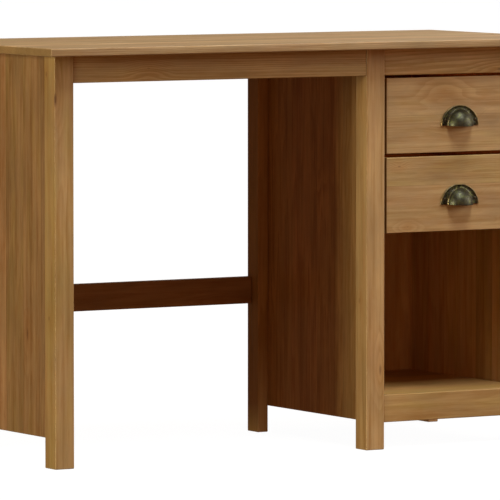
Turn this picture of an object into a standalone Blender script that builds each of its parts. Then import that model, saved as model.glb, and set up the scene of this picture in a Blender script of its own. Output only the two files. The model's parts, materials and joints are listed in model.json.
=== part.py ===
"""A writing desk with a pedestal of two drawers over an open compartment, in metres with +Z up.

The origin is on the floor under the middle of the top. +X runs along the desk's width, towards the
pedestal, and +Y runs from the sitter's side to the back.
"""

import math

import bpy
from mathutils import Vector

# Driving dimensions of the desk
DESK_WIDTH = 1.100
DESK_DEPTH = 0.500
DESK_HEIGHT = 0.740
TOP_THICKNESS = 0.014
SIDE_OVERHANG = 0.030
FRONT_OVERHANG = 0.042
BACK_OVERHANG = 0.038
POST_SIZE = 0.038
REAR_LEG_THICKNESS = 0.022
PEDESTAL_WIDTH = 0.398
BOARD_BOTTOM = 0.049
RAIL_HEIGHT = 0.050
RAIL_THICKNESS = 0.016
RAIL_SETBACK = 0.0015
STRETCHER_BOTTOM = 0.2395
APRON_BOTTOM = 0.6773
BACK_PANEL_THICKNESS = 0.004
SHELF_THICKNESS = 0.016
BATTEN_SIZE = 0.016

# Driving dimensions of a drawer
DRAWER_FRONT_HEIGHT = 0.1369
DRAWER_FRONT_THICKNESS = 0.016
DRAWER_FRONT_GAP = 0.005
DRAWER_GAP_ABOVE = 0.0053
DRAWER_GAP_BETWEEN = 0.0066
DRAWER_SIDE_LENGTH = 0.350
DRAWER_SIDE_HEIGHT = 0.110
DRAWER_SIDE_RISE = 0.010
DRAWER_SIDE_THICKNESS = 0.012
DRAWER_SIDE_GAP = 0.008
DRAWER_BOTTOM_THICKNESS = 0.004
DRAWER_BOTTOM_RISE = 0.008
DRAWER_GROOVE_DEPTH = 0.005
DRAWER_TONGUE_THICKNESS = 0.004
DRAWER_TONGUE_INSET = 0.001
RUNNER_HEIGHT = 0.014
RUNNER_LENGTH = 0.380
RUNNER_RISE = 0.048
RUNNER_ENGAGEMENT = 0.005
RUNNER_PLAY = 0.0006

# Driving dimensions of a cup pull
PULL_WIDTH = 0.082
PULL_HEIGHT = 0.037
PULL_DROP = 0.0015
FLANGE_THICKNESS = 0.002
CUP_HALF_WIDTH = 0.026
CUP_HEIGHT = 0.029
CUP_PROJECTION = 0.024
CUP_WALL = 0.0018
CUP_LIP_DROP = 0.0027
PULL_HOLE_SPACING = 0.066
PULL_HOLE_RISE = 0.010

# Joinery and fasteners
GAP = 0.0003
EDGE_ROUND = 0.0015
TOP_ROUND = 0.0022
SMALL_ROUND = 0.0006
TENON_LENGTH = 0.010
TENON_INSET = 0.008
TENON_THICKNESS = 0.007
OVERLAP = 0.003
SCREW_SHANK_RADIUS = 0.0014
SCREW_HEAD_RADIUS = 0.0030
SCREW_HEAD_DEPTH = 0.0016
SCREW_TIP = 0.004
SCREW_STEPS = 16
BLOCK_SIZE = 0.028

# Places that follow from them
FRAME_LEFT = -DESK_WIDTH / 2 + SIDE_OVERHANG
FRAME_RIGHT = DESK_WIDTH / 2 - SIDE_OVERHANG
FRAME_FRONT = -DESK_DEPTH / 2 + FRONT_OVERHANG
FRAME_BACK = DESK_DEPTH / 2 - BACK_OVERHANG
UNDER_TOP = DESK_HEIGHT - TOP_THICKNESS - GAP
PANEL_THICKNESS = POST_SIZE - REAR_LEG_THICKNESS
MIDDLE_LEFT = FRAME_RIGHT - PEDESTAL_WIDTH
OPENING_LEFT = MIDDLE_LEFT + POST_SIZE
OPENING_RIGHT = FRAME_RIGHT - POST_SIZE
OPENING_CENTRE = (OPENING_LEFT + OPENING_RIGHT) / 2
KNEE_LEFT = FRAME_LEFT + POST_SIZE
RAIL_FRONT = FRAME_FRONT + RAIL_SETBACK
REAR_RAIL_FRONT = FRAME_BACK - RAIL_THICKNESS
SHELF_TOP = BOARD_BOTTOM + RAIL_HEIGHT
DRAWER_BOX_HALF = (OPENING_RIGHT - OPENING_LEFT) / 2 - DRAWER_SIDE_GAP
UPPER_DRAWER_BOTTOM = APRON_BOTTOM - DRAWER_GAP_ABOVE - DRAWER_FRONT_HEIGHT
LOWER_DRAWER_BOTTOM = UPPER_DRAWER_BOTTOM - DRAWER_GAP_BETWEEN - DRAWER_FRONT_HEIGHT

# Colours, as linear RGB, with roughness and metallic values
TOP_WOOD = ((0.46, 0.31, 0.15), 0.42, 0.0)
LEG_WOOD = ((0.33, 0.19, 0.075), 0.50, 0.0)
PANEL_WOOD = ((0.28, 0.16, 0.06), 0.52, 0.0)
FRONT_WOOD = ((0.36, 0.21, 0.085), 0.48, 0.0)
INNER_WOOD = ((0.42, 0.30, 0.17), 0.60, 0.0)
PLYWOOD = ((0.50, 0.38, 0.23), 0.65, 0.0)
BRONZE = ((0.10, 0.085, 0.05), 0.38, 0.9)
STEEL = ((0.30, 0.29, 0.27), 0.35, 1.0)


def clear_scene():
    for item in list(bpy.data.objects):
        bpy.data.objects.remove(item, do_unlink=True)


def new_collection(name):
    collection = bpy.data.collections.new(name)
    bpy.context.scene.collection.children.link(collection)
    return collection


def new_material(name, look):
    colour, roughness, metallic = look
    material = bpy.data.materials.new(name)
    material.use_nodes = True
    shader = material.node_tree.nodes["Principled BSDF"]
    shader.inputs["Base Color"].default_value = (*colour, 1.0)
    shader.inputs["Roughness"].default_value = roughness
    shader.inputs["Metallic"].default_value = metallic
    return material


def new_empty(name, location):
    empty = bpy.data.objects.new(name, None)
    empty.empty_display_size = 0.05
    empty.location = location
    DESK.objects.link(empty)
    return empty


def settle(piece, name, collection, parent):
    """Names the piece, puts it in its collection and hangs it on its parent without moving it."""
    piece.name = name
    piece.data.name = name
    for other in list(piece.users_collection):
        other.objects.unlink(piece)
    collection.objects.link(piece)
    piece.parent = parent
    piece.location = piece.location - parent.location


def as_cutter(tool):
    tool.hide_render = True
    tool.display_type = "WIRE"


def cube(low, high):
    """A box between two corners, with its size in its mesh and its origin at its centre."""
    low = Vector(low)
    high = Vector(high)
    bpy.ops.mesh.primitive_cube_add(size=1.0, location=(low + high) / 2)
    piece = bpy.context.object
    piece.scale = high - low
    bpy.ops.object.transform_apply(location=False, rotation=False, scale=True)
    return piece


def board(name, low, high, look, parent, rounding=EDGE_ROUND):
    """A board between two corners, with its edges eased."""
    piece = cube(low, high)
    settle(piece, name, DESK, parent)
    piece.data.materials.append(new_material(name, look))
    bevel = piece.modifiers.new("eased_edges", "BEVEL")
    bevel.width = rounding
    bevel.segments = 2 if rounding > SMALL_ROUND else 1
    bevel.limit_method = "ANGLE"
    return piece


def box_tool(name, low, high, parent):
    """A hidden box that is cut from pieces or joined to them."""
    tool = cube(low, high)
    settle(tool, name, CUTTERS, parent)
    as_cutter(tool)
    return tool


def combine(piece, tool, operation):
    modifier = piece.modifiers.new(f"{operation.lower()}_{tool.name}", "BOOLEAN")
    modifier.operation = operation
    modifier.solver = "EXACT"
    modifier.object = tool


def turned(name, profile, collection, parent):
    """A turned piece about its own Z axis, from points (radius, height) listed from top to bottom."""
    mesh = bpy.data.meshes.new(name)
    mesh.from_pydata([(radius, 0.0, height) for radius, height in profile],
                     [(i, i + 1) for i in range(len(profile) - 1)], [])
    piece = bpy.data.objects.new(name, mesh)
    collection.objects.link(piece)
    piece.parent = parent
    spin = piece.modifiers.new("turn", "SCREW")
    spin.steps = SCREW_STEPS
    spin.render_steps = SCREW_STEPS
    spin.use_merge_vertices = True
    spin.merge_threshold = 0.00001
    spin.use_smooth_shade = False
    return piece


def screw(name, head, outward, length, through, parent):
    """A countersunk wood screw whose head's face is at head, and its hole in each piece it goes through."""
    turn = Vector((0, 0, 1)).rotation_difference(Vector(outward)).to_euler()
    shapes = (
        (name, DESK, 0.0, 0.0),
        (f"{name}_hole", CUTTERS, GAP, OVERLAP),
    )
    for shape_name, collection, grow, rise in shapes:
        top_radius = SCREW_HEAD_RADIUS + grow
        shank_radius = SCREW_SHANK_RADIUS + grow
        profile = [(0.0, rise), (top_radius, rise)]
        if rise:
            profile.append((top_radius, 0.0))
        profile.append((shank_radius, -SCREW_HEAD_DEPTH))
        profile.append((shank_radius, -length + SCREW_TIP))
        profile.append((0.0, -length - 2 * grow))
        piece = turned(shape_name, profile, collection, parent)
        piece.rotation_euler = turn
        piece.location = Vector(head) - parent.location
        if rise:
            as_cutter(piece)
            for other in through:
                combine(other, piece, "DIFFERENCE")
        else:
            piece.data.materials.append(new_material(shape_name, STEEL))


def rail(name, corner, size, look, sockets, rounding=EDGE_ROUND):
    """A rail along X with a stub tenon at each end, and the mortises in the pieces that it joins.

    corner is its lowest corner and size its length, depth and height between the two pieces.
    """
    x, y, z = corner
    length, depth, height = size
    piece = board(name, (x + GAP, y, z), (x + length - GAP, y + depth, z + height), look, ROOT, rounding)
    middle = y + depth / 2
    for side, end, way in (("left", x, 1), ("right", x + length, -1)):
        for kind, grow, operation in (("tenon", 0.0, "UNION"), ("mortise", GAP, "DIFFERENCE")):
            reach = sorted((end - way * (TENON_LENGTH + grow), end + way * OVERLAP))
            half = TENON_THICKNESS / 2 + grow
            low = (reach[0], middle - half, z + TENON_INSET - grow)
            high = (reach[1], middle + half, z + height - TENON_INSET + grow)
            tool = box_tool(f"{name}_{side}_{kind}", low, high, ROOT)
            combine(piece if kind == "tenon" else sockets[side], tool, operation)
    return piece


def end_frame(side, left, leg_outside_left):
    """A front post, a rear leg and the panel that joins them, flush with the post's inner face."""
    right = left + POST_SIZE
    post = board(f"leg_front_{side}", (left, FRAME_FRONT, 0.0),
                 (right, FRAME_FRONT + POST_SIZE, UNDER_TOP), LEG_WOOD, ROOT)
    if leg_outside_left:
        leg_x = (left, left + REAR_LEG_THICKNESS)
        panel_x = (leg_x[1] + GAP, right)
    else:
        leg_x = (right - REAR_LEG_THICKNESS, right)
        panel_x = (left, leg_x[0] - GAP)
    leg = board(f"leg_rear_{side}", (leg_x[0], FRAME_BACK - POST_SIZE, 0.0),
                (leg_x[1], FRAME_BACK, UNDER_TOP), LEG_WOOD, ROOT)
    joint_y = FRAME_FRONT + POST_SIZE
    panel = board(f"side_panel_{side}", (panel_x[0], joint_y + GAP, BOARD_BOTTOM),
                  (panel_x[1], FRAME_BACK, UNDER_TOP), PANEL_WOOD, ROOT, SMALL_ROUND)
    middle = sum(panel_x) / 2
    for kind, grow, operation, target in (
        ("tongue", 0.0, "UNION", panel),
        ("groove", GAP, "DIFFERENCE", post),
    ):
        half = TENON_THICKNESS / 2 + grow
        low = (middle - half, joint_y - TENON_LENGTH - grow, BOARD_BOTTOM + TENON_INSET - grow)
        high = (middle + half, joint_y + OVERLAP, UNDER_TOP - TENON_INSET + grow)
        combine(target, box_tool(f"side_panel_{side}_{kind}", low, high, ROOT), operation)
    return {"post": post, "leg": leg, "panel": panel}


def tabletop():
    half_width = DESK_WIDTH / 2
    half_depth = DESK_DEPTH / 2
    return board("tabletop", (-half_width, -half_depth, DESK_HEIGHT - TOP_THICKNESS),
                 (half_width, half_depth, DESK_HEIGHT), TOP_WOOD, ROOT, TOP_ROUND)


def aprons(frames):
    """The four boards under the top, front and rear, over the knee space and over the drawers."""
    height = UNDER_TOP - APRON_BOTTOM
    knee = MIDDLE_LEFT - KNEE_LEFT
    opening = OPENING_RIGHT - OPENING_LEFT
    left, middle, right = frames["left"], frames["middle"], frames["right"]
    rail("apron_front_knee", (KNEE_LEFT, RAIL_FRONT, APRON_BOTTOM), (knee, RAIL_THICKNESS, height),
         LEG_WOOD, {"left": left["post"], "right": middle["post"]})
    rail("apron_front_pedestal", (OPENING_LEFT, RAIL_FRONT, APRON_BOTTOM),
         (opening, RAIL_THICKNESS, height), LEG_WOOD, {"left": middle["post"], "right": right["post"]})
    rail("apron_rear_knee", (KNEE_LEFT, REAR_RAIL_FRONT, APRON_BOTTOM), (knee, RAIL_THICKNESS, height),
         LEG_WOOD, {"left": left["panel"], "right": middle["leg"]})
    rail("apron_rear_pedestal", (OPENING_LEFT, REAR_RAIL_FRONT, APRON_BOTTOM),
         (opening, RAIL_THICKNESS, height), LEG_WOOD, {"left": middle["panel"], "right": right["panel"]})


def stretcher(frames):
    """The rail across the back of the knee space."""
    rail("stretcher_rear", (KNEE_LEFT, REAR_RAIL_FRONT, STRETCHER_BOTTOM),
         (MIDDLE_LEFT - KNEE_LEFT, RAIL_THICKNESS, RAIL_HEIGHT), LEG_WOOD,
         {"left": frames["left"]["panel"], "right": frames["middle"]["leg"]})


def compartment_floor(frames):
    """The shelf at the bottom of the pedestal, with the rails and battens that carry it."""
    opening = OPENING_RIGHT - OPENING_LEFT
    middle, right = frames["middle"], frames["right"]
    under_shelf = SHELF_TOP - SHELF_THICKNESS
    rail("rail_front_bottom", (OPENING_LEFT, RAIL_FRONT, BOARD_BOTTOM),
         (opening, RAIL_THICKNESS, RAIL_HEIGHT), LEG_WOOD,
         {"left": middle["post"], "right": right["post"]})
    rail("rail_rear_bottom", (OPENING_LEFT, REAR_RAIL_FRONT, BOARD_BOTTOM),
         (opening, RAIL_THICKNESS, under_shelf - GAP - BOARD_BOTTOM), LEG_WOOD,
         {"left": middle["panel"], "right": right["panel"]})
    front = RAIL_FRONT + RAIL_THICKNESS + GAP
    board("bottom_shelf", (OPENING_LEFT + GAP, front, under_shelf),
          (OPENING_RIGHT - GAP, FRAME_BACK - GAP, SHELF_TOP), PANEL_WOOD, ROOT, SMALL_ROUND)
    for side, low_x in (("left", OPENING_LEFT + GAP), ("right", OPENING_RIGHT - GAP - BATTEN_SIZE)):
        board(f"shelf_batten_{side}", (low_x, front + GAP, under_shelf - GAP - BATTEN_SIZE),
              (low_x + BATTEN_SIZE, REAR_RAIL_FRONT - GAP, under_shelf - GAP), INNER_WOOD, ROOT, SMALL_ROUND)


def back_panel():
    """The thin board on the pedestal's back."""
    board("back_panel", (MIDDLE_LEFT + OVERLAP, FRAME_BACK + GAP, BOARD_BOTTOM),
          (FRAME_RIGHT - OVERLAP, FRAME_BACK + GAP + BACK_PANEL_THICKNESS, UNDER_TOP),
          PLYWOOD, ROOT, SMALL_ROUND)


def top_blocks(top):
    """The four blocks behind the knee space's aprons, each with a screw up into the top."""
    front_y = RAIL_FRONT + RAIL_THICKNESS + GAP
    rear_y = REAR_RAIL_FRONT - GAP - BLOCK_SIZE
    inset = 0.060
    for side, low_x in (("left", KNEE_LEFT + inset), ("right", MIDDLE_LEFT - inset - BLOCK_SIZE)):
        for end, low_y in (("front", front_y), ("rear", rear_y)):
            low_z = UNDER_TOP - BLOCK_SIZE
            block = board(f"top_block_{end}_{side}", (low_x, low_y, low_z),
                          (low_x + BLOCK_SIZE, low_y + BLOCK_SIZE, UNDER_TOP), INNER_WOOD, ROOT, SMALL_ROUND)
            head = (low_x + BLOCK_SIZE / 2, low_y + BLOCK_SIZE / 2, low_z + GAP)
            screw(f"top_screw_{end}_{side}", head, (0, 0, -1), BLOCK_SIZE + 0.008, (block, top), ROOT)


def runners(level, front_bottom, frames):
    """The pair of battens that a drawer slides on, each screwed to its side panel."""
    low_z = front_bottom + DRAWER_SIDE_RISE + RUNNER_RISE
    low_y = RAIL_FRONT + DRAWER_FRONT_THICKNESS + 2 * GAP
    depth = DRAWER_SIDE_GAP + RUNNER_ENGAGEMENT
    sides = (
        ("left", OPENING_LEFT + GAP, OPENING_LEFT + depth, frames["middle"]["panel"], 1),
        ("right", OPENING_RIGHT - depth, OPENING_RIGHT - GAP, frames["right"]["panel"], -1),
    )
    for side, low_x, high_x, panel, inward in sides:
        runner = board(f"runner_{level}_{side}", (low_x, low_y, low_z),
                       (high_x, low_y + RUNNER_LENGTH, low_z + RUNNER_HEIGHT), INNER_WOOD, ROOT, SMALL_ROUND)
        face_x = high_x if inward > 0 else low_x
        for end, share in (("front", 0.2), ("rear", 0.8)):
            head = (face_x - inward * GAP, low_y + share * RUNNER_LENGTH, low_z + RUNNER_HEIGHT / 2)
            screw(f"runner_screw_{level}_{side}_{end}", head, (inward, 0, 0), depth + 0.010,
                  (runner, panel), ROOT)


def drawer_box(level, slide, low_z):
    """A drawer's front, sides, back and bottom. low_z is the lower edge of its front."""
    front_x = (OPENING_LEFT + DRAWER_FRONT_GAP, OPENING_RIGHT - DRAWER_FRONT_GAP)
    rear_of_front = RAIL_FRONT + DRAWER_FRONT_THICKNESS
    front = board(f"drawer_{level}_front", (front_x[0], RAIL_FRONT, low_z),
                  (front_x[1], rear_of_front, low_z + DRAWER_FRONT_HEIGHT), FRONT_WOOD, slide)
    side_bottom = low_z + DRAWER_SIDE_RISE
    side_top = side_bottom + DRAWER_SIDE_HEIGHT
    side_front = rear_of_front + GAP
    side_rear = side_front + DRAWER_SIDE_LENGTH
    panel_bottom = side_bottom + DRAWER_BOTTOM_RISE
    panel_top = panel_bottom + DRAWER_BOTTOM_THICKNESS
    inner_half = DRAWER_BOX_HALF - DRAWER_SIDE_THICKNESS
    panel_half = inner_half + DRAWER_GROOVE_DEPTH - GAP

    bottom_groove = box_tool(
        f"drawer_{level}_bottom_groove",
        (OPENING_CENTRE - panel_half - GAP, rear_of_front - DRAWER_GROOVE_DEPTH, panel_bottom - GAP),
        (OPENING_CENTRE + panel_half + GAP, side_rear + OVERLAP, panel_top + GAP), slide)
    combine(front, bottom_groove, "DIFFERENCE")
    for side, way in (("left", -1), ("right", 1)):
        outer = OPENING_CENTRE + way * DRAWER_BOX_HALF
        inner = OPENING_CENTRE + way * inner_half
        low_x, high_x = sorted((outer, inner))
        piece = board(f"drawer_{level}_side_{side}", (low_x, side_front, side_bottom),
                      (high_x, side_rear, side_top), INNER_WOOD, slide, SMALL_ROUND)
        combine(piece, bottom_groove, "DIFFERENCE")
        groove_x = sorted((outer + way * OVERLAP, outer - way * (RUNNER_ENGAGEMENT + RUNNER_PLAY)))
        runner_bottom = side_bottom + RUNNER_RISE
        runner_groove = box_tool(
            f"drawer_{level}_{side}_runner_groove",
            (groove_x[0], side_front - OVERLAP, runner_bottom - RUNNER_PLAY),
            (groove_x[1], side_rear + OVERLAP, runner_bottom + RUNNER_HEIGHT + GAP), slide)
        combine(piece, runner_groove, "DIFFERENCE")
        tongue_x = sorted((inner + way * DRAWER_TONGUE_INSET,
                           inner + way * (DRAWER_TONGUE_INSET + DRAWER_TONGUE_THICKNESS)))
        for kind, grow, operation, target in (
            ("tongue", 0.0, "UNION", piece),
            ("dado", GAP, "DIFFERENCE", front),
        ):
            low = (tongue_x[0] - grow, rear_of_front - DRAWER_GROOVE_DEPTH + 2 * GAP - grow,
                   panel_top + OVERLAP - grow)
            high = (tongue_x[1] + grow, side_front + OVERLAP, side_top - OVERLAP + grow)
            tool = box_tool(f"drawer_{level}_{side}_{kind}", low, high, slide)
            combine(target, tool, operation)
    board(f"drawer_{level}_back",
          (OPENING_CENTRE - inner_half + GAP, side_rear - DRAWER_SIDE_THICKNESS, panel_top + 2 * GAP),
          (OPENING_CENTRE + inner_half - GAP, side_rear, side_top), INNER_WOOD, slide, SMALL_ROUND)
    board(f"drawer_{level}_bottom",
          (OPENING_CENTRE - panel_half, rear_of_front - DRAWER_GROOVE_DEPTH + GAP, panel_bottom),
          (OPENING_CENTRE + panel_half, side_rear - GAP, panel_top), PLYWOOD, slide, SMALL_ROUND)
    return front


def ellipsoid(name, centre, radii, collection, parent):
    bpy.ops.mesh.primitive_uv_sphere_add(segments=32, ring_count=16, radius=1.0, location=centre)
    piece = bpy.context.object
    piece.scale = radii
    bpy.ops.object.transform_apply(location=False, rotation=False, scale=True)
    settle(piece, name, collection, parent)
    return piece


def cup_pull(level, slide, front, centre_z):
    """A cast pull: a half-oval flange with a hollow cup that is open below, and its two screws."""
    face = RAIL_FRONT - GAP
    bottom = centre_z - PULL_HEIGHT / 2
    name = f"drawer_{level}_pull"
    centre = Vector((OPENING_CENTRE, face, bottom))
    radii = Vector((CUP_HALF_WIDTH, CUP_PROJECTION, CUP_HEIGHT))
    pull = ellipsoid(name, centre, radii, DESK, slide)
    pull.data.materials.append(new_material(name, BRONZE))

    bpy.ops.mesh.primitive_cylinder_add(vertices=48, radius=1.0, depth=1.0, rotation=(math.pi / 2, 0, 0))
    flange = bpy.context.object
    bpy.ops.object.transform_apply(location=False, rotation=True, scale=False)
    flange.scale = (PULL_WIDTH / 2, FLANGE_THICKNESS, PULL_HEIGHT)
    bpy.ops.object.transform_apply(location=False, rotation=False, scale=True)
    flange.location = centre - Vector((0, FLANGE_THICKNESS / 2, 0))
    settle(flange, f"{name}_flange", CUTTERS, slide)
    as_cutter(flange)
    combine(pull, flange, "UNION")

    wall = Vector((CUP_WALL, CUP_WALL, CUP_WALL))
    hollow = ellipsoid(f"{name}_hollow", centre, radii - wall, CUTTERS, slide)
    as_cutter(hollow)
    combine(pull, hollow, "DIFFERENCE")

    reach = PULL_WIDTH
    behind = box_tool(f"{name}_behind", centre - Vector((reach, 0, reach)),
                      centre + Vector((reach, reach, reach)), slide)
    combine(pull, behind, "DIFFERENCE")
    below = box_tool(f"{name}_below", centre - Vector((reach, reach, reach)),
                     centre + Vector((reach, reach, 0)), slide)
    below.rotation_euler = (math.atan2(CUP_LIP_DROP, CUP_PROJECTION), 0, 0)
    below.location = centre - slide.location + below.rotation_euler.to_matrix() @ Vector((0, 0, -reach / 2))
    combine(pull, below, "DIFFERENCE")

    for side, way in (("left", -1), ("right", 1)):
        head = centre + Vector((way * PULL_HOLE_SPACING / 2, -FLANGE_THICKNESS + GAP / 3, PULL_HOLE_RISE))
        screw(f"{name}_screw_{side}", head, (0, -1, 0), DRAWER_FRONT_THICKNESS - OVERLAP, (pull, front), slide)


clear_scene()
DESK = new_collection("writing_desk")
CUTTERS = new_collection("cutters")
ROOT = new_empty("desk_root", (0.0, 0.0, 0.0))

end_frames = {
    "left": end_frame("left", FRAME_LEFT, True),
    "middle": end_frame("middle", MIDDLE_LEFT, True),
    "right": end_frame("right", FRAME_RIGHT - POST_SIZE, False),
}
desk_top = tabletop()
aprons(end_frames)
stretcher(end_frames)
compartment_floor(end_frames)
back_panel()
top_blocks(desk_top)
for drawer_level, drawer_bottom in (("upper", UPPER_DRAWER_BOTTOM), ("lower", LOWER_DRAWER_BOTTOM)):
    drawer_centre = drawer_bottom + DRAWER_FRONT_HEIGHT / 2
    drawer_slide = new_empty(f"drawer_{drawer_level}_slide", (OPENING_CENTRE, RAIL_FRONT, drawer_centre))
    runners(drawer_level, drawer_bottom, end_frames)
    drawer_front = drawer_box(drawer_level, drawer_slide, drawer_bottom)
    cup_pull(drawer_level, drawer_slide, drawer_front, drawer_centre - PULL_DROP)
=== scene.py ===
import json
import math

import bmesh
import bpy
from mathutils import Matrix, Vector


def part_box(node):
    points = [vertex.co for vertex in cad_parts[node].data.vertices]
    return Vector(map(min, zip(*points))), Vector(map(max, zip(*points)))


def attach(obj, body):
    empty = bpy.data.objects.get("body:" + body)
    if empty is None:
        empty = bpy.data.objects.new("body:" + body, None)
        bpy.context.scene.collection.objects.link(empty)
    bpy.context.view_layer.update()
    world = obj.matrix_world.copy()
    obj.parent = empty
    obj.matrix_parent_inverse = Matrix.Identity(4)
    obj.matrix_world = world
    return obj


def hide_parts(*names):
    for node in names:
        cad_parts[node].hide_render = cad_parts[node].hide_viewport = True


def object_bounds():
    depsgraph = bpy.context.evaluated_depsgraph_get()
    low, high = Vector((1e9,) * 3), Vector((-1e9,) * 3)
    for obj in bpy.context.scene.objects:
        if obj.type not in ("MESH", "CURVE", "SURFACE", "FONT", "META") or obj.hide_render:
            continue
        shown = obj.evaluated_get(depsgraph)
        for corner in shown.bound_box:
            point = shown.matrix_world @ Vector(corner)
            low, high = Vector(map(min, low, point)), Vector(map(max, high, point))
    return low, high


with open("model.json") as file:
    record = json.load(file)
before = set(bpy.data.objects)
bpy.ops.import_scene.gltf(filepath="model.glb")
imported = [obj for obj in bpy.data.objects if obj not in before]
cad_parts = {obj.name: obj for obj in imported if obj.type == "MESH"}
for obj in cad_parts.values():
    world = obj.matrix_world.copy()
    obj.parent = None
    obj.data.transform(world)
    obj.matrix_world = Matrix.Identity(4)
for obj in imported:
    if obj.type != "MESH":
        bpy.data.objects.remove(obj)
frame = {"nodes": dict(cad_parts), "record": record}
CAD_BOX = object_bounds()

# Camera: a long lens from the sitter's left, a little above the top
CAMERA_AZIMUTH = 30.83
CAMERA_ELEVATION = 4.026
CAMERA_DISTANCE = 10.9
CAMERA_LENS = 432.5
CAMERA_SENSOR = 36.0
CAMERA_CLIP = (1.0, 200.0)
CAMERA_AIM_OFFSET = Vector((-0.0226, -0.0396, -0.0116))

# Lights: azimuth 0 comes from the sitter's side and 90 from the sitter's left. Width and height are angles.
LIGHT_DISTANCE = 10.0
LIGHTS = {
    "key": {"azimuth": 0, "elevation": 66, "width": 16, "height": 24, "strength": 1.98,
            "colour": (0.96, 1.0, 1.0)},
    "left": {"azimuth": 82.2, "elevation": 8, "width": 12, "height": 16, "strength": 1.94,
             "colour": (1.0, 0.95, 0.70)},
    "right": {"azimuth": -60, "elevation": 22, "width": 30, "height": 24, "strength": 1.45,
              "colour": (1.0, 0.93, 0.85)},
    "rear": {"azimuth": 238, "elevation": 36, "width": 40, "height": 40, "strength": 0.60,
             "colour": (1.0, 0.92, 0.86)},
    "front": {"azimuth": 10, "elevation": 4, "width": 50, "height": 6, "strength": 0.18,
              "colour": (1.0, 0.34, 0.14)},
}
AMBIENT = (0.120, 0.056, 0.028)

# Dim lamps inside the drawers: place from the middle of the drawer's bottom, and power
BOUNCES = {"upper": ((-0.13, 0.12, 0.03), 0.16), "lower": ((0.0, 0.0, 0.06), 0.06)}
BOUNCE_COLOUR = (1.0, 0.26, 0.04)
BOUNCE_SIZE = 0.03

# Floor: it glows less near the desk, to leave room for the light that falls on it
FLOOR_GLOW = 0.975
FLOOR_COLOUR = (0.09, 0.09, 0.09)
FLOOR_NEAR = 0.9
FLOOR_FAR = 2.2
FLOOR_REACH = 70.0
FLOOR_GAP = 0.0002

# Wood colours, as linear RGB: between the rings, and on the rings
WOODS = {
    "pine_top": {"early": (0.620, 0.436, 0.228), "late": (0.438, 0.274, 0.117)},
    "pine_frame": {"early": (0.580, 0.360, 0.144), "late": (0.410, 0.217, 0.064)},
    "pine_panel": {"early": (0.340, 0.190, 0.082), "late": (0.225, 0.106, 0.034)},
    # The paler copy of the wood, for the faces inside the compartment: painted light where the lamps barely
    # reach.
    "pine_painted_lit": {"early": (0.610, 0.400, 0.180), "late": (0.450, 0.250, 0.085)},
    "pine_drawer_front": {"early": (0.552, 0.364, 0.174), "late": (0.405, 0.233, 0.088)},
    "pine_inner": {"early": (0.640, 0.460, 0.260), "late": (0.480, 0.300, 0.130)},
    "plywood": {"early": (0.620, 0.450, 0.260), "late": (0.500, 0.330, 0.160)},
}
# What the wood's colour is multiplied by
PINK_CAST = (1.08, 0.94, 1.04)
YELLOW_CAST = (0.94, 1.00, 0.78)
KNOT_HALO = (0.92, 0.78, 0.62)
END_GRAIN = (0.57, 0.52, 0.43)
# The lightening of the boards' rounded edges: partly rubbed wear, partly a painted highlight along them.
RUBBED_EDGE_AND_HIGHLIGHT = (1.20, 1.26, 1.36)
# What it turns to
KNOT_COLOUR = (0.10, 0.035, 0.012)
SEAM_COLOUR = (0.10, 0.045, 0.015)

# Growth rings, in metres: their width, where a stave's heart may lie, and how far the rings bend
RING_WIDTH = 0.0036
HEART_ACROSS = 0.050
HEART_NEAREST = 0.030
HEART_RANGE = 0.060
GRAIN_BEND = 0.016
KNOT_PUSH = 0.008
# How much a stave's grain leans, as a slope, and how unevenly its rings are spaced, in rings
GRAIN_LEAN = 0.05
RING_CROWDING = 4.5
# Staves: the range of their tones, and the seam between them
STAVE_TONES = (0.86, 1.14)
SEAM_WIDTH = 0.0009
SEAM_DARKNESS = 0.20
# Each noise: its length along the grain and its width across it in metres, detail, roughness and seed
FIGURES = {
    "patch": (0.12, 0.040, 2.0, 0.5, 11.0),
    "hue": (0.16, 0.022, 2.0, 0.5, 29.0),
    "band": (0.45, 0.014, 2.0, 0.5, 43.0),
    "streak": (0.11, 0.0042, 3.0, 0.6, 57.0),
    "fibre": (0.030, 0.0012, 2.0, 0.6, 71.0),
    "mottle": (0.022, 0.009, 3.0, 0.6, 83.0),
}
# How much of each noise goes into the share of late wood
FIGURE_SHARES = {"band": 1.2, "streak": 1.0, "fibre": 0.45, "mottle": 0.8}
LATE_SHARE = 0.24

# Small knots: cells in a metre along and across the grain, and the share of cells without a knot
KNOT_CELLS = (6.0, 21.0)
KNOTLESS = 0.86
# Knots that stand out, by node: place in the frame, radius, reach of the grain round it, and darkness
KNOTS = {
    "leg_front_left": (
        ((-0.520, -0.178, 0.693), 0.0035, 0.020, 0.5),
        ((-0.520, -0.186, 0.265), 0.0030, 0.022, 0.6),
    ),
    "leg_front_middle": (
        ((0.122, -0.183, 0.270), 0.0040, 0.022, 0.35),
    ),
    "drawer_upper_front": (
        ((0.290, -0.207, 0.648), 0.0020, 0.045, 0.10),
        ((0.446, -0.207, 0.598), 0.0016, 0.012, 0.5),
    ),
    "drawer_lower_front": (
        ((0.192, -0.207, 0.512), 0.0024, 0.016, 0.5),
        ((0.428, -0.207, 0.412), 0.0026, 0.018, 0.6),
        ((0.210, -0.207, 0.402), 0.0022, 0.022, 0.35),
    ),
    "side_panel_middle": (
        ((0.122, -0.020, 0.520), 0.0040, 0.055, 0.3),
    ),
    "side_panel_left": (
        ((-0.520, 0.060, 0.610), 0.0035, 0.035, 0.4),
    ),
    "apron_front_knee": (
        ((-0.330, -0.2065, 0.700), 0.0020, 0.035, 0.4),
    ),
    "tabletop": (
        ((-0.280, -0.120, 0.740), 0.0050, 0.030, 0.5),
        ((0.240, 0.110, 0.740), 0.0060, 0.034, 0.6),
        ((0.020, -0.040, 0.740), 0.0035, 0.026, 0.4),
    ),
}
# A knot's width as a share of its length, and its dark core's radius as a share of its own
KNOT_SQUEEZE = 0.55
KNOT_CORE = 0.4

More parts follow.
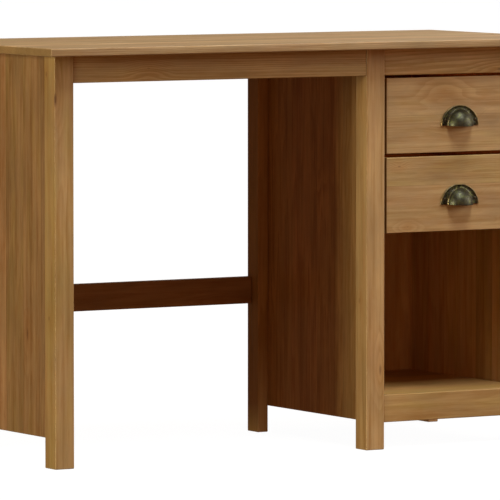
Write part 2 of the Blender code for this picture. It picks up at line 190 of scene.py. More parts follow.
# Boards: finish and relief, the weld before their edges are smoothed, and their seeds
FINISHES = {
    "satin": {"Specular IOR Level": 0.35, "Coat Weight": 0.10, "Coat Roughness": 0.30},
    "bare": {"Specular IOR Level": 0.3},
}
GRAIN_STRENGTH = 0.35
GRAIN_RELIEF = 0.0004
# The largest part of a unit normal, on a flat face and on the middle of a rounded edge
EDGE_LEAN = (0.995, 0.88)
WELD_DISTANCE = 0.00001
FIRST_SEED = 1.0
SEED_STEP = 2.31
# Metres along the grain for each unit of the seed
SEED_SHIFT = 1.37

# Metals: linear RGB bare, in the dark stains and in the warm ones, roughness, and the size of the blotches
METALS = {
    "antique_bronze": {"base": (0.080, 0.078, 0.054), "dark": (0.018, 0.017, 0.008),
                       "warm": (0.122, 0.130, 0.046), "roughness": 0.44, "mottle": 0.004, "worn": True},
    "bronze_screw": {"base": (0.090, 0.078, 0.050), "dark": (0.025, 0.021, 0.013),
                     "warm": (0.110, 0.090, 0.045), "roughness": 0.40, "mottle": 0.002},
    "zinc_screw": {"base": (0.560, 0.570, 0.550), "dark": (0.360, 0.370, 0.380),
                   "warm": (0.600, 0.560, 0.420), "roughness": 0.34, "mottle": 0.002},
}
# Each kind of blotch: its size as a multiple of the mottle, detail, and seed
BLOTCHES = {"broad": (2.2, 2.0, 3.0), "fine": (0.45, 3.0, 8.0), "warm": (1.3, 2.0, 15.0)}
METALLIC = 0.9
METAL_STRENGTH = 0.5
METAL_RELIEF = 0.00012
METAL_WORN = (0.34, 0.25, 0.11)

# Cup pull: half an oval flange and a hollow cup that is open below, about the middle of its bottom edge
FLANGE_RADII = (0.041, 0.037)
CUP_RADII = (0.026, 0.029)
CUP_PROJECTION = 0.024
CUP_WALL = 0.0018
CUP_LIP_DROP = 0.0015
CUP_PATINA = 0.55
PULL_BACK = 0.0002
PULL_STEPS = 64
PULL_ROUNDING = 0.00035
PULL_LIP_ANGLE = math.radians(55)
PULL_SHARP_ANGLE = math.radians(60)
DOME_STEPS = 16
DOME_START = math.radians(11)
HOLE_PLACE = (0.033, 0.010)
HOLE_DEPTH = 0.0014
HOLE_RADII = (0.0018, 0.0054)
HOLE_CUTTER_LENGTH = 0.004
HOLE_STEPS = 32
# Across the flange: share of the way from its rim to the cup, how far it stands out, and how worn it is
FLANGE_PROFILE = (
    (0.000, 0.0008, 0.5), (0.020, 0.0016, 1.0), (0.070, 0.0022, 0.9), (0.150, 0.0024, 0.6),
    (0.230, 0.0019, 0.1), (0.300, 0.0014, 0.0), (0.500, 0.0013, 0.0), (0.700, 0.0013, 0.0),
    (0.850, 0.0016, 0.0), (0.925, 0.0022, 0.1), (0.950, 0.0034, 0.7), (0.975, 0.0041, 1.0),
    (1.000, 0.0041, 0.6), (1.020, 0.0037, 0.0),
)

# Wood screws, with a raised countersunk head and a cross recess
SCREW_STEPS = 24
SCREW_HEAD_RADIUS = 0.0031
SCREW_HEAD_RISE = 0.0008
SCREW_HEAD_STEPS = 6
SCREW_HEAD_RIM = 0.0002
SCREW_HEAD_DEPTH = 0.0017
SCREW_NECK = 0.0008
SCREW_CORE_RADIUS = 0.00095
SCREW_THREAD_DEPTH = 0.00042
SCREW_PITCH = 0.0014
SCREW_PITCH_ROWS = 5
SCREW_TIP = 0.004
SCREW_SINK = 0.0004
SCREW_SHARP_ANGLE = math.radians(35)
RECESS_SIZE = Vector((0.0034, 0.0008, 0.0028))
RECESS_HEIGHT = 0.0008
RECESS_TAPER = 0.35
RECESS_TURN = 0.4

AXES = {"x": 0, "y": 1, "z": 2}
BODIES = frame["record"]["behaviour"]["bodies"]
NODE_BODY = {node: body for body, nodes in BODIES.items() for node in nodes}


class Graph:
    """Adds linked shader nodes to one node tree. A value is a socket, a number or a tuple."""

    def __init__(self, tree):
        self.tree = tree

    def put(self, value, socket):
        if isinstance(value, bpy.types.NodeSocket):
            self.tree.links.new(value, socket)
        elif isinstance(value, tuple) and len(value) == 3 and socket.type == "RGBA":
            socket.default_value = (*value, 1.0)
        else:
            socket.default_value = value

    def node(self, kind, inputs=None, **settings):
        made = self.tree.nodes.new(kind)
        for name, value in settings.items():
            setattr(made, name, value)
        for name, value in (inputs or {}).items():
            self.put(value, made.inputs[name])
        return made

    def math(self, operation, *values):
        made = self.node("ShaderNodeMath", operation=operation)
        for i, value in enumerate(values):
            self.put(value, made.inputs[i])
        return made.outputs[0]

    def add(self, a, b):
        return self.math("ADD", a, b)

    def minus(self, a, b):
        return self.math("SUBTRACT", a, b)

    def times(self, a, b):
        return self.math("MULTIPLY", a, b)

    def spread(self, value, low, high, to_low=0.0, to_high=1.0, smooth=True):
        """The value mapped from one range to another, held at the ends."""
        made = self.node("ShaderNodeMapRange", {"Value": value, "From Min": low, "From Max": high,
                                                "To Min": to_low, "To Max": to_high})
        made.interpolation_type = "SMOOTHSTEP" if smooth else "LINEAR"
        return made.outputs["Result"]

    def vector(self, x, y, z):
        return self.node("ShaderNodeCombineXYZ", {"X": x, "Y": y, "Z": z}).outputs[0]

    def parts(self, vector):
        return self.node("ShaderNodeSeparateXYZ", {"Vector": vector}).outputs

    def scaled(self, vector, scale):
        made = self.node("ShaderNodeVectorMath", operation="MULTIPLY")
        self.put(vector, made.inputs[0])
        self.put((scale, scale, scale), made.inputs[1])
        return made.outputs[0]

    def length(self, vector):
        return self.node("ShaderNodeVectorMath", {"Vector": vector}, operation="LENGTH").outputs["Value"]

    def noise(self, vector, detail, roughness, seed):
        """Noise from 0 to 1, with its middle at 0.5."""
        made = self.node("ShaderNodeTexNoise", {"Scale": 1.0, "Detail": detail, "Roughness": roughness},
                         noise_dimensions="4D")
        self.put(vector, made.inputs["Vector"])
        self.put(seed, made.inputs["W"])
        return made.outputs["Fac"]

    def blend(self, share, a, b, mode="MIX"):
        made = self.node("ShaderNodeMix", data_type="RGBA", blend_type=mode)
        self.put(share, made.inputs["Factor"])
        self.put(a, made.inputs[6])
        self.put(b, made.inputs[7])
        return made.outputs[2]

    def tint(self, share, colour, factor):
        """The colour, with that share of it multiplied by the factor."""
        return self.blend(share, colour, self.blend(1.0, colour, factor, "MULTIPLY"))


def edge_mask(g):
    """1 on a rounded edge and 0 on the flat faces, from how far the normal leans off the three axes."""
    normal = g.node("ShaderNodeNewGeometry").outputs["Normal"]
    sizes = [g.math("ABSOLUTE", part) for part in g.parts(normal)]
    largest = g.math("MAXIMUM", g.math("MAXIMUM", sizes[0], sizes[1]), sizes[2])
    return g.spread(largest, *EDGE_LEAN)


def pine_group():
    """Edge-glued pine as a solid texture. Place is metres along the grain, across the board and through."""
    tree = bpy.data.node_groups.new("pine_grain", "ShaderNodeTree")
    for name, kind in (("Place", "Vector"), ("Seed", "Float"), ("Stave", "Float"), ("Contrast", "Float"),
                       ("Figure", "Float"), ("Knot", "Float"), ("Swirl", "Float"), ("Early", "Color"),
                       ("Late", "Color")):
        tree.interface.new_socket(name, in_out="INPUT", socket_type=f"NodeSocket{kind}")
    for name, kind in (("Color", "Color"), ("Roughness", "Float"), ("Height", "Float")):
        tree.interface.new_socket(name, in_out="OUTPUT", socket_type=f"NodeSocket{kind}")
    g = Graph(tree)
    given = g.node("NodeGroupInput").outputs
    along, across, through = g.parts(given["Place"])
    seed = given["Seed"]

    # Each stave has its own tree: where its heart lies, how it leans and how dark it is.
    stave = g.math("DIVIDE", across, given["Stave"])
    index = g.math("FLOOR", stave)
    from_middle = g.times(g.minus(g.minus(stave, index), 0.5), given["Stave"])
    dice = g.node("ShaderNodeTexWhiteNoise", noise_dimensions="2D")
    g.put(g.vector(g.add(index, 0.37), seed, 0.0), dice.inputs["Vector"])
    dice = g.node("ShaderNodeSeparateColor", {"Color": dice.outputs["Color"]}).outputs
    tree_seed = g.add(g.times(index, 3.7), seed)

    # Small knots, one for a few of the cells of a stretched pattern.
    cells = g.node("ShaderNodeTexVoronoi", {"Scale": 1.0, "Randomness": 0.9}, voronoi_dimensions="3D",
                   feature="F1")
    cell_depth = g.add(g.times(through, KNOT_CELLS[1]), tree_seed)
    g.put(g.vector(g.times(along, KNOT_CELLS[0]), g.times(across, KNOT_CELLS[1]), cell_depth),
          cells.inputs["Vector"])
    cell_dice = g.node("ShaderNodeSeparateColor", {"Color": cells.outputs["Color"]}).outputs
    chosen = g.math("GREATER_THAN", cell_dice[0], KNOTLESS)
    reach = cells.outputs["Distance"]
    knot = g.math("MAXIMUM", g.times(g.spread(reach, 0.10, 0.03), chosen), given["Knot"])
    swirl = g.math("MAXIMUM", g.times(g.spread(reach, 0.55, 0.0), chosen), given["Swirl"])

    # Growth rings round the heart, bent by slow noise along the grain and swept round the knots.
    slow = g.vector(g.times(along, 2.2), g.times(across, 12.0), g.times(through, 12.0))
    bend = g.times(g.minus(g.noise(slow, 2.0, 0.5, tree_seed), 0.5), GRAIN_BEND)
    lean = g.times(along, g.times(g.minus(dice[2], 0.5), GRAIN_LEAN))
    heart_across = g.times(g.minus(dice[0], 0.5), HEART_ACROSS)
    heart_depth = g.add(HEART_NEAREST, g.times(dice[1], HEART_RANGE))
    side = g.minus(from_middle, heart_across)
    depth = g.add(g.add(through, heart_depth), g.add(bend, lean))
    radius = g.math("SQRT", g.add(g.times(side, side), g.times(depth, depth)))
    radius = g.add(radius, g.times(swirl, KNOT_PUSH))
    crowd = g.vector(g.times(along, 0.8), g.times(across, 42.0), g.times(through, 42.0))
    crowd = g.times(g.minus(g.noise(crowd, 1.0, 0.5, g.add(tree_seed, 5.0)), 0.5), RING_CROWDING)
    phase = g.math("FRACT", g.add(g.math("DIVIDE", radius, RING_WIDTH), crowd))
    late = g.times(g.spread(phase, 0.15, 0.85), g.spread(phase, 1.0, 0.88))

    # Streaks, fibres and slow patches of tone, each about 0.
    figures = {}
    for name, (length, width, detail, roughness, shift) in FIGURES.items():
        at = g.vector(g.math("DIVIDE", along, length), g.math("DIVIDE", across, width),
                      g.math("DIVIDE", through, width))
        figures[name] = g.minus(g.noise(at, detail, roughness, g.add(tree_seed, shift)), 0.5)
    patch = figures["patch"]
    ringed = g.times(late, g.times(given["Contrast"], g.spread(patch, -0.20, 0.20, 0.35, 1.0)))
    figure = 0.0
    for name, share in FIGURE_SHARES.items():
        figure = g.add(figure, g.times(figures[name], share))
    share = g.add(g.add(ringed, LATE_SHARE), g.times(figure, given["Figure"]))
    share = g.math("MINIMUM", g.math("MAXIMUM", share, 0.0), 1.0)
    colour = g.blend(share, given["Early"], given["Late"])

    # Tone of the stave, patches, and a drift between a pink and a yellow cast.
    tone = g.add(g.spread(dice[1], 0.0, 1.0, *STAVE_TONES, smooth=False), g.times(patch, 0.70))
    tone = g.add(tone, g.times(g.times(figures["mottle"], given["Figure"]), 0.26))
    colour = g.blend(1.0, colour, g.vector(tone, tone, tone), "MULTIPLY")
    cast = g.add(g.times(figures["hue"], 2.4), g.minus(dice[0], 0.5))
    colour = g.tint(g.spread(cast, 0.0, 0.9, 0.0, 0.45), colour, PINK_CAST)
    colour = g.tint(g.spread(cast, 0.0, -0.9, 0.0, 0.8), colour, YELLOW_CAST)
    colour = g.tint(g.times(swirl, 0.5), colour, KNOT_HALO)
    colour = g.blend(g.times(knot, 0.7), colour, KNOT_COLOUR)
    edge = g.times(given["Stave"], 0.5)
    seam = g.spread(g.math("ABSOLUTE", from_middle), g.minus(edge, SEAM_WIDTH), edge, 0.0, SEAM_DARKNESS)
    colour = g.blend(seam, colour, SEAM_COLOUR)

    roughness = g.add(0.42, g.times(figures["streak"], 0.16))
    height = g.minus(figures["fibre"], g.times(share, 0.6))
    height = g.minus(height, g.times(seam, 2.0))
    g.node("NodeGroupOutput", {"Color": colour, "Roughness": roughness, "Height": height})
    return tree


def new_material(name):
    """A material with an empty tree, a Graph over it and its Principled shader's inputs."""
    made = bpy.data.materials.new(name)
    made.use_nodes = True
    tree = made.node_tree
    tree.nodes.clear()
    g = Graph(tree)
    shader = g.node("ShaderNodeBsdfPrincipled")
    g.node("ShaderNodeOutputMaterial", {"Surface": shader.outputs["BSDF"]})
    return made, g, shader.inputs


def chosen_knots(g, node, parts, grain_axis):
    """How much of a knot, and of the grain that sweeps round one, each of the node's points has."""
    knot = 0.0
    swirl = 0.0
    for spot, radius, reach, darkness in KNOTS.get(node, ()):
        offsets = []
        for axis, index in AXES.items():
            squeeze = KNOT_SQUEEZE if axis == grain_axis else 1.0
            offsets.append(g.times(g.minus(parts[index], spot[index]), squeeze))
        distance = g.length(g.vector(*offsets))
        knot = g.math("MAXIMUM", knot, g.spread(distance, radius, radius * KNOT_CORE, 0.0, darkness))
        swirl = g.math("MAXIMUM", swirl, g.spread(distance, reach, 0.0))
    return knot, swirl


def wood(node, slot, axes, stave, seed, contrast=0.45, figure=1.5, finish="satin", tone=(1.0, 1.0, 1.0),
         painted_lit_side=None, rubbed_and_highlight=0.3):
    """The material of one board. axes are the frame's along the grain, across the board and through it.

    The side argument, 1 or -1, picks the face of the board that looks to the right or the left, into the
    compartment, for the paler copy of the wood: painted light there."""
    made, g, surface = new_material(f"{slot}_{node}")
    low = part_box(node)[0]
    normal = g.parts(g.node("ShaderNodeNewGeometry").outputs["Normal"])
    parts = g.parts(g.node("ShaderNodeTexCoord").outputs["Object"])
    shifts = (seed * SEED_SHIFT, 0.0, 0.0)
    place = [g.add(parts[AXES[axis]], shift - low[AXES[axis]]) for axis, shift in zip(axes, shifts)]
    knot, swirl = chosen_knots(g, node, parts, axes[0])
    grain = g.node("ShaderNodeGroup", node_tree=PINE)
    for name, value in (("Place", g.vector(*place)), ("Seed", seed), ("Stave", stave),
                        ("Contrast", contrast), ("Figure", figure), ("Knot", knot), ("Swirl", swirl)):
        g.put(value, grain.inputs[name])
    for growth, socket in (("early", "Early"), ("late", "Late")):
        colour = tuple(part * share for part, share in zip(WOODS[slot][growth], tone))
        # The faces inside the compartment take the paler copy of the wood: painted light.
        if painted_lit_side:
            lit_share = g.spread(g.times(normal[0], painted_lit_side), 0.4, 0.6)
            colour = g.blend(lit_share, colour, WOODS["pine_painted_lit"][growth])
        g.put(colour, grain.inputs[socket])

    # End grain is darker and shows less figure, and the rounded edges are lightened: partly rubbed wear,
    # partly a painted highlight.
    colour = grain.outputs["Color"]
    end = g.spread(g.math("ABSOLUTE", normal[AXES[axes[0]]]), 0.6, 0.9)
    plain = tuple((early + late) / 2 * share
                  for early, late, share in zip(WOODS[slot]["early"], WOODS[slot]["late"], tone))
    colour = g.blend(g.times(end, 0.6), colour, plain)
    colour = g.tint(end, colour, END_GRAIN)
    colour = g.tint(g.times(edge_mask(g), rubbed_and_highlight), colour, RUBBED_EDGE_AND_HIGHLIGHT)
    g.put(colour, surface["Base Color"])
    g.put(grain.outputs["Roughness"], surface["Roughness"])
    bump = g.node("ShaderNodeBump", {"Strength": GRAIN_STRENGTH, "Distance": GRAIN_RELIEF,
                                     "Height": grain.outputs["Height"]})
    g.put(bump.outputs["Normal"], surface["Normal"])
    for name, value in FINISHES[finish].items():
        surface[name].default_value = value
    return made


def soften(piece):
    """Smooth rounded edges between faces that stay flat."""
    weld = piece.modifiers.new("weld", "WELD")
    weld.merge_threshold = WELD_DISTANCE
    piece.modifiers.new("flat_faces", "WEIGHTED_NORMAL").keep_sharp = False


def dress_boards():
    """Every wooden CAD node's material: grain along its length, and its own seed."""
    for i, name in enumerate(sorted(frame["nodes"])):
        piece = frame["nodes"][name]
        look = board_look(name)
        if look is None:
            continue
        slot, axes, stave, changes = look
        settings = {"seed": FIRST_SEED + SEED_STEP * i, **changes}
        piece.data.materials.clear()
        piece.data.materials.append(wood(name, slot, axes, stave, **settings))
        soften(piece)


def board_look(name):
    """(slot, axes, stave width, other settings) of a wooden node, or None for metal."""
    if "screw" in name or name.endswith("_pull"):
        return None
    if name == "tabletop":
        return "pine_top", "xyz", 0.062, {"contrast": 0.8, "figure": 2.2, "seed": 41.0}
    if name == "leg_front_middle":
        return "pine_frame", "zxy", 0.2, {"tone": (0.91, 0.95, 1.06)}
    if name == "leg_rear_middle":
        return "pine_frame", "zxy", 0.2, {"tone": (0.80, 0.80, 0.80)}
    if name.startswith("leg_"):
        return "pine_frame", "zxy", 0.2, {"tone": (0.96, 0.98, 1.08)}
    if name == "side_panel_left":
        return "pine_panel", "zyx", 0.064, {"tone": (0.97, 0.98, 1.02), "contrast": 0.30, "figure": 2.1}
    # The faces of these two panels inside the compartment take the paler copy of the wood: painted light.
    if name == "side_panel_middle":
        return "pine_panel", "zyx", 0.090, {"tone": (1.42, 1.44, 1.18), "painted_lit_side": 1, "contrast": 0.6,
                                            "figure": 2.0}
    if name == "side_panel_right":
        return "pine_panel", "zyx", 0.055, {"painted_lit_side": -1}
    if name == "apron_front_knee":
        return "pine_frame", "xzy", 0.2, {"tone": (0.90, 0.98, 1.06), "contrast": 0.8, "figure": 1.7}
    if name.startswith("apron"):
        return "pine_frame", "xzy", 0.2, {"tone": (0.99, 1.08, 1.22), "contrast": 0.8, "figure": 1.7}
    if name.startswith("stretcher"):
        return "pine_frame", "xzy", 0.2, {"tone": (0.60, 0.60, 0.66)}
    if name.startswith("rail"):
        return "pine_frame", "xzy", 0.2, {"tone": (0.78, 0.79, 0.78)}
    # The shelf and the back panel, inside the compartment, take the paler copy of the wood: painted light.
    if name == "bottom_shelf":
        return "pine_painted_lit", "xyz", 0.055, {"tone": (0.92, 0.86, 0.72)}
    # The drawer fronts' rounded edges are lightened fully, which paints a highlight along their top edges.
    if name == "drawer_lower_front":
        return "pine_drawer_front", "xzy", 0.085, {"tone": (0.83, 0.83, 0.79), "figure": 2.0, "rubbed_and_highlight": 1.0}
    if name == "drawer_upper_front":
        return "pine_drawer_front", "xzy", 0.0685, {"tone": (1.03, 1.04, 1.04), "figure": 1.8, "rubbed_and_highlight": 1.0}
    if name == "back_panel":
        return "pine_painted_lit", "zxy", 0.5, {"contrast": 0.3, "finish": "bare"}
    if name.endswith("_bottom"):
        return "plywood", "xyz", 0.5, {"contrast": 0.4, "finish": "bare"}
    if name.endswith("_back") or name.startswith("top_block"):
        return "pine_inner", "xzy", 0.2, {"finish": "bare"}
    return "pine_inner", "yzx", 0.2, {"finish": "bare"}


def metal(name, base, dark, warm, roughness, mottle, worn=False):
    """Metal with a blotched patina. Worn metal follows its mesh's patina and wear, which brightens it."""
    made, g, surface = new_material(name)
    place = g.node("ShaderNodeTexCoord").outputs["Object"]
    blotches = {}
    for kind, (size, detail, seed) in BLOTCHES.items():
        blotches[kind] = g.noise(g.scaled(place, 1 / (mottle * size)), detail, 0.6, seed)
    broad = blotches["broad"]
    fine = blotches["fine"]
    stain = g.spread(g.add(g.times(broad, 0.55), g.times(fine, 0.45)), 0.42, 0.60)
    tarnish = g.spread(blotches["warm"], 0.48, 0.64)
    if worn:
        patina = g.node("ShaderNodeAttribute", attribute_name="patina").outputs["Fac"]
        stain = g.times(stain, patina)
        tarnish = g.times(tarnish, patina)
    colour = g.blend(tarnish, g.blend(stain, base, dark), warm)
    rough = g.spread(fine, 0.30, 0.70, roughness - 0.07, roughness + 0.12)
    if worn:
        wear = g.node("ShaderNodeAttribute", attribute_name="wear").outputs["Fac"]
        rubbed_and_highlight = g.times(wear, g.spread(broad, 0.36, 0.60, 0.15, 1.0))
        colour = g.blend(rubbed_and_highlight, colour, METAL_WORN)
        rough = g.minus(rough, g.times(rubbed_and_highlight, 0.10))
    g.put(colour, surface["Base Color"])
    g.put(rough, surface["Roughness"])
    surface["Metallic"].default_value = METALLIC
    bump = g.node("ShaderNodeBump", {"Strength": METAL_STRENGTH, "Distance": METAL_RELIEF, "Height": fine})
    g.put(bump.outputs["Normal"], surface["Normal"])
    return made


def shade(mesh, angle):
    """Smooth shading where faces meet at less than the angle."""
    mesh.shade_smooth()
    mesh.set_sharp_from_angle(angle=angle)


def new_object(name, data):
    made = bpy.data.objects.new(name, data)
    bpy.context.scene.collection.objects.link(made)
    return made


def new_piece(name, shape, material):
    """An object of the bmesh's shape."""
    mesh = bpy.data.meshes.new(name)
    shape.to_mesh(mesh)
    shape.free()
    mesh.materials.append(material)
    return new_object(name, mesh)


def apply_modifiers(piece):
    """The piece's mesh as its modifiers leave it, with no modifiers."""
    bpy.context.view_layer.update()
    view = bpy.context.evaluated_depsgraph_get()
    old = piece.data
    piece.data = bpy.data.meshes.new_from_object(piece.evaluated_get(view), depsgraph=view)
    piece.modifiers.clear()
    piece.data.name = old.name
    bpy.data.meshes.remove(old)


def cut(piece, cutters):
    """Cuts the cutters out of the piece, and removes them."""
    for cutter in cutters:
        step = piece.modifiers.new("cut", "BOOLEAN")
        step.object = cutter
        step.operation = "DIFFERENCE"
        step.solver = "EXACT"
    apply_modifiers(piece)
    for cutter in cutters:
        data = cutter.data
        bpy.data.objects.remove(cutter)
        bpy.data.meshes.remove(data)


def pull_rings():
    """The pull's rings from rim to tip, outer and inner: (half width, rise, stand-out). Then their wear."""
    outer = []
    inner = []
    wear = []
    for share, depth, worn in FLANGE_PROFILE:
        radii = [rim + (cup - rim) * share for rim, cup in zip(FLANGE_RADII, CUP_RADII)]
        outer.append((*radii, depth))
        inner.append((*radii, PULL_BACK))
        wear.append(worn)
    for step in range(DOME_STEPS):
        share = step / DOME_STEPS
        turn = DOME_START + (math.pi / 2 - DOME_START) * share
        inner_turn = math.pi / 2 * share
        outer.append((*(radius * math.cos(turn) for radius in CUP_RADII), CUP_PROJECTION * math.sin(turn)))
        inner.append((*((radius - CUP_WALL) * math.cos(inner_turn) for radius in CUP_RADII),
                      max(PULL_BACK, (CUP_PROJECTION - CUP_WALL) * math.sin(inner_turn))))
        wear.append(0.0)
    return outer, inner, wear


def pull_shape(origin):
    """The pull's closed mesh, with its back's bottom middle at origin."""
    shape = bmesh.new()
    worn = shape.verts.layers.float.new("wear")
    stained = shape.verts.layers.float.new("patina")

    def place(x, depth, z, wear=0.0):
        vert = shape.verts.new(origin + Vector((x, -depth, z - CUP_LIP_DROP * depth / CUP_PROJECTION)))
        vert[worn] = wear
        vert[stained] = CUP_PATINA if depth > FLANGE_PROFILE[-1][1] else 1.0
        return vert

    outer_rings, inner_rings, wears = pull_rings()
    angles = [math.pi * step / PULL_STEPS for step in range(PULL_STEPS + 1)]
    walls = []
    for rings in (outer_rings, inner_rings):
        rows = []
        for (half_width, rise, depth), wear in zip(rings, wears):
            rows.append([place(half_width * math.cos(a), depth, rise * math.sin(a), wear) for a in angles])
        walls.append(rows)
    outer, inner = walls
    tips = (place(0.0, CUP_PROJECTION, 0.0), place(0.0, CUP_PROJECTION - CUP_WALL, 0.0))
    for rows, tip in zip(walls, tips):
        for near, far in zip(rows, rows[1:]):
            for i in range(PULL_STEPS):
                shape.faces.new((near[i], near[i + 1], far[i + 1], far[i]))
        for i in range(PULL_STEPS):
            shape.faces.new((rows[-1][i], rows[-1][i + 1], tip))
    for i in range(PULL_STEPS):
        shape.faces.new((outer[0][i], outer[0][i + 1], inner[0][i + 1], inner[0][i]))
    for end in (0, PULL_STEPS):
        for near, far in zip(range(len(outer)), range(1, len(outer))):
            shape.faces.new((outer[near][end], outer[far][end], inner[far][end], inner[near][end]))
        shape.faces.new((outer[-1][end], tips[0], tips[1], inner[-1][end]))
    bmesh.ops.recalc_face_normals(shape, faces=shape.faces[:])
    return shape


def hole_cutter(origin, way):
    """A cone through the flange, wider at the front, for the screw on the right (way 1) or the left (-1)."""
    shape = bmesh.new()
    bmesh.ops.create_cone(shape, cap_ends=True, segments=HOLE_STEPS, radius1=HOLE_RADII[0],
                          radius2=HOLE_RADII[1], depth=HOLE_CUTTER_LENGTH,
                          matrix=Matrix.Rotation(math.pi / 2, 4, "X"))
    shape.transform(Matrix.Translation(origin + Vector((way * HOLE_PLACE[0], -HOLE_DEPTH, HOLE_PLACE[1]))))
    return new_piece("hole", shape, MADE_METALS["antique_bronze"])


def make_pull(level):
    """A cast cup pull in antique bronze, in the place of the CAD node."""
    node = f"drawer_{level}_pull"
    low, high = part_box(node)
    origin = Vector(((low[0] + high[0]) / 2, high[1], high[2] - FLANGE_RADII[1]))
    piece = new_piece(f"cup_pull_{level}", pull_shape(origin), MADE_METALS["antique_bronze"])
    cut(piece, [hole_cutter(origin, way) for way in (-1, 1)])
    rounding = piece.modifiers.new("rounded_lips", "BEVEL")
    rounding.width = PULL_ROUNDING
    rounding.segments = 2
    rounding.limit_method = "ANGLE"
    rounding.angle_limit = PULL_LIP_ANGLE
    apply_modifiers(piece)
    shade(piece.data, PULL_SHARP_ANGLE)
    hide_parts(node)
    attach(piece, NODE_BODY[node])


def screw_rows(length):
    """The screw's rings from its crown to its tip: radius, height, and how far the thread stands out."""
    rows = []
    for step in range(1, SCREW_HEAD_STEPS):
        turn = math.pi / 2 * (1 - step / SCREW_HEAD_STEPS)
        rows.append((SCREW_HEAD_RADIUS * math.cos(turn), SCREW_HEAD_RISE * math.sin(turn), 0.0))
    rows.append((SCREW_HEAD_RADIUS, 0.0, 0.0))
    rows.append((SCREW_HEAD_RADIUS, -SCREW_HEAD_RIM, 0.0))
    neck = SCREW_CORE_RADIUS + SCREW_THREAD_DEPTH
    start = SCREW_HEAD_DEPTH + SCREW_NECK
    rows.append((neck, -SCREW_HEAD_DEPTH, 0.0))
    rows.append((neck, -start, 0.0))
    count = int((length - start) / (SCREW_PITCH / SCREW_PITCH_ROWS))
    for step in range(1, count):
        reached = start + (length - start) * step / count
        taper = min(1.0, (length - reached) / SCREW_TIP)
        rows.append((SCREW_CORE_RADIUS * taper, -reached, SCREW_THREAD_DEPTH * taper ** 0.5))
    return rows


def screw_shape(length):
    """A threaded screw along -Z whose head's rim is at the origin's height."""
    shape = bmesh.new()
    rings = []
    for radius, height, thread in screw_rows(length):
        ring = []
        for i in range(SCREW_STEPS):
            share = i / SCREW_STEPS
            crest = abs(((height / SCREW_PITCH + share) % 1.0) * 2 - 1) ** 2
            turn = math.tau * share
            reach = radius + thread * crest
            ring.append(shape.verts.new((reach * math.cos(turn), reach * math.sin(turn), height)))
        rings.append(ring)
    crown = shape.verts.new((0.0, 0.0, SCREW_HEAD_RISE))
    tip = shape.verts.new((0.0, 0.0, -length))
    for i in range(SCREW_STEPS):
        after = (i + 1) % SCREW_STEPS
        for near, far in zip(rings, rings[1:]):
            shape.faces.new((near[i], far[i], far[after], near[after]))
        shape.faces.new((crown, rings[0][i], rings[0][after]))
        shape.faces.new((rings[-1][i], tip, rings[-1][after]))
    bmesh.ops.recalc_face_normals(shape, faces=shape.faces[:])
    return shape


def recess_cutter(turn):
    """One arm of a cross recess, narrower at its bottom."""
    shape = bmesh.new()
    bmesh.ops.create_cube(shape, size=1.0)
    for vert in shape.verts:
        narrow = 1.0 if vert.co.z > 0 else RECESS_TAPER
        vert.co = (vert.co.x * RECESS_SIZE.x * narrow, vert.co.y * RECESS_SIZE.y * narrow,
                   vert.co.z * RECESS_SIZE.z)
    shape.transform(Matrix.Rotation(turn, 4, "Z") @ Matrix.Translation((0.0, 0.0, RECESS_HEIGHT)))
    return new_piece("recess", shape, MADE_METALS["zinc_screw"])


def screw_mesh(slot, length):
    """The mesh of a screw with its cross recess."""
    piece = new_piece(f"{slot}_{round(length * 1000)}", screw_shape(length), MADE_METALS[slot])
    cut(piece, [recess_cutter(RECESS_TURN), recess_cutter(RECESS_TURN + math.pi / 2)])
    mesh = piece.data
    shade(mesh, SCREW_SHARP_ANGLE)
    bpy.data.objects.remove(piece)
    return mesh


def screw_look(node):
    """The way a screw's head faces, and its slot."""
    if "_pull_" in node:
        return Vector((0, -1, 0)), "bronze_screw"
    if node.startswith("top_"):
        return Vector((0, 0, -1)), "zinc_screw"
    return Vector((1 if "left" in node else -1, 0, 0)), "zinc_screw"


def make_screws():
    """Every screw: one mesh for each length and finish, placed over its CAD node."""
    meshes = {}
    for node in sorted(frame["nodes"]):
        if "_screw" not in node:
            continue
        low, high = (Vector(corner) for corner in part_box(node))
        outward, slot = screw_look(node)
        length = abs((high - low).dot(outward))
        key = (slot, round(length, 4))
        if key not in meshes:
            meshes[key] = screw_mesh(slot, length)
        piece = new_object(f"fitted_{node}", meshes[key])
        piece.location = (low + high) / 2 + outward * (length / 2 - SCREW_SINK)
        piece.rotation_euler = outward.to_track_quat("Z", "Y").to_euler()
        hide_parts(node)
        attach(piece, NODE_BODY[node])


def towards(azimuth, elevation):
    """The unit vector to a place at that azimuth (0 sitter's side, 90 sitter's left) and elevation."""
    turn = math.radians(azimuth)
    rise = math.radians(elevation)
    return Vector((-math.sin(turn) * math.cos(rise), -math.cos(turn) * math.cos(rise), math.sin(rise)))


def make_camera():
    """The camera, aimed a little off the desk's middle so that the picture crops it as the photo does."""
    data = bpy.data.cameras.new("camera")
    data.lens = CAMERA_LENS
    data.sensor_width = CAMERA_SENSOR
    data.clip_start, data.clip_end = CAMERA_CLIP
    camera = new_object("camera", data)
    back = towards(CAMERA_AZIMUTH, CAMERA_ELEVATION)
    aim = (CAD_BOX[0] + CAD_BOX[1]) / 2 + CAMERA_AIM_OFFSET
    camera.location = aim + back * CAMERA_DISTANCE
    camera.rotation_euler = (-back).to_track_quat("-Z", "Y").to_euler()
    bpy.context.scene.camera = camera


def make_light(name, azimuth, elevation, width, height, strength, colour):
    """A soft rectangle of light, as wide and high as the angles say when seen from the desk.

    strength is its irradiance at the desk, on a face that looks at it."""
    data = bpy.data.lights.new(name, "AREA")
    data.shape = "RECTANGLE"
    data.size = 2 * LIGHT_DISTANCE * math.tan(math.radians(width / 2))
    data.size_y = 2 * LIGHT_DISTANCE * math.tan(math.radians(height / 2))
    data.energy = strength * math.pi * LIGHT_DISTANCE ** 2
    data.color = colour
    lamp = new_object(name, data)
    away = towards(azimuth, elevation)
    lamp.location = away * LIGHT_DISTANCE
    lamp.rotation_euler = (-away).to_track_quat("-Z", "Y").to_euler()
    lamp.visible_camera = False


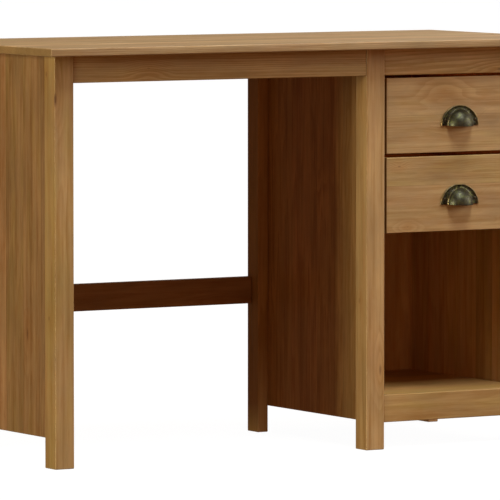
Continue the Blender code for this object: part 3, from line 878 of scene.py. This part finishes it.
def make_bounce(level):
    """A dim lamp inside a shut drawer, for the warm light that bounces bring to the gaps round its front."""
    place, power = BOUNCES[level]
    data = bpy.data.lights.new(f"bounce_{level}", "POINT")
    data.energy = power
    data.color = BOUNCE_COLOUR
    data.shadow_soft_size = BOUNCE_SIZE
    lamp = new_object(f"bounce_{level}", data)
    low, high = (Vector(corner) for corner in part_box(f"drawer_{level}_bottom"))
    lamp.location = (low + high) / 2 + Vector(place)


def make_world():
    """White behind the object, and a dim warm room for everything that the light doesn't reach."""
    world = bpy.data.worlds.new("studio")
    bpy.context.scene.world = world
    world.use_nodes = True
    world.node_tree.nodes.clear()
    g = Graph(world.node_tree)
    white = g.node("ShaderNodeBackground", {"Color": (1.0, 1.0, 1.0), "Strength": 1.0})
    room = g.node("ShaderNodeBackground", {"Color": AMBIENT, "Strength": 1.0})
    seen = g.node("ShaderNodeLightPath").outputs["Is Camera Ray"]
    mixed = g.node("ShaderNodeMixShader")
    g.put(seen, mixed.inputs[0])
    g.put(room.outputs[0], mixed.inputs[1])
    g.put(white.outputs[0], mixed.inputs[2])
    g.node("ShaderNodeOutputWorld", {"Surface": mixed.outputs[0]})


def make_floor():
    """A floor that looks white and takes the desk's shadow only faintly."""
    mesh = bpy.data.meshes.new("floor")
    shape = bmesh.new()
    bmesh.ops.create_grid(shape, x_segments=1, y_segments=1, size=FLOOR_REACH)
    shape.to_mesh(mesh)
    shape.free()
    floor = new_object("floor", mesh)
    floor.location.z = CAD_BOX[0].z - FLOOR_GAP
    made = bpy.data.materials.new("floor")
    made.use_nodes = True
    made.node_tree.nodes.clear()
    g = Graph(made.node_tree)
    distance = g.length(g.node("ShaderNodeTexCoord").outputs["Object"])
    strength = g.spread(distance, FLOOR_NEAR, FLOOR_FAR, FLOOR_GLOW, 1.0)
    glow = g.node("ShaderNodeEmission", {"Color": (1.0, 1.0, 1.0), "Strength": strength})
    matt = g.node("ShaderNodeBsdfDiffuse", {"Color": FLOOR_COLOUR})
    both = g.node("ShaderNodeAddShader")
    g.put(glow.outputs[0], both.inputs[0])
    g.put(matt.outputs[0], both.inputs[1])
    g.node("ShaderNodeOutputMaterial", {"Surface": both.outputs[0]})
    floor.data.materials.append(made)
    floor.visible_diffuse = False
    floor.visible_glossy = False


PINE = pine_group()
MADE_METALS = {name: metal(name, **settings) for name, settings in METALS.items()}
dress_boards()
for level in ("upper", "lower"):
    make_pull(level)
    make_bounce(level)
make_screws()
make_world()
make_floor()
for light, settings in LIGHTS.items():
    make_light(light, **settings)
make_camera()
bpy.context.scene.view_settings.view_transform = "Standard"
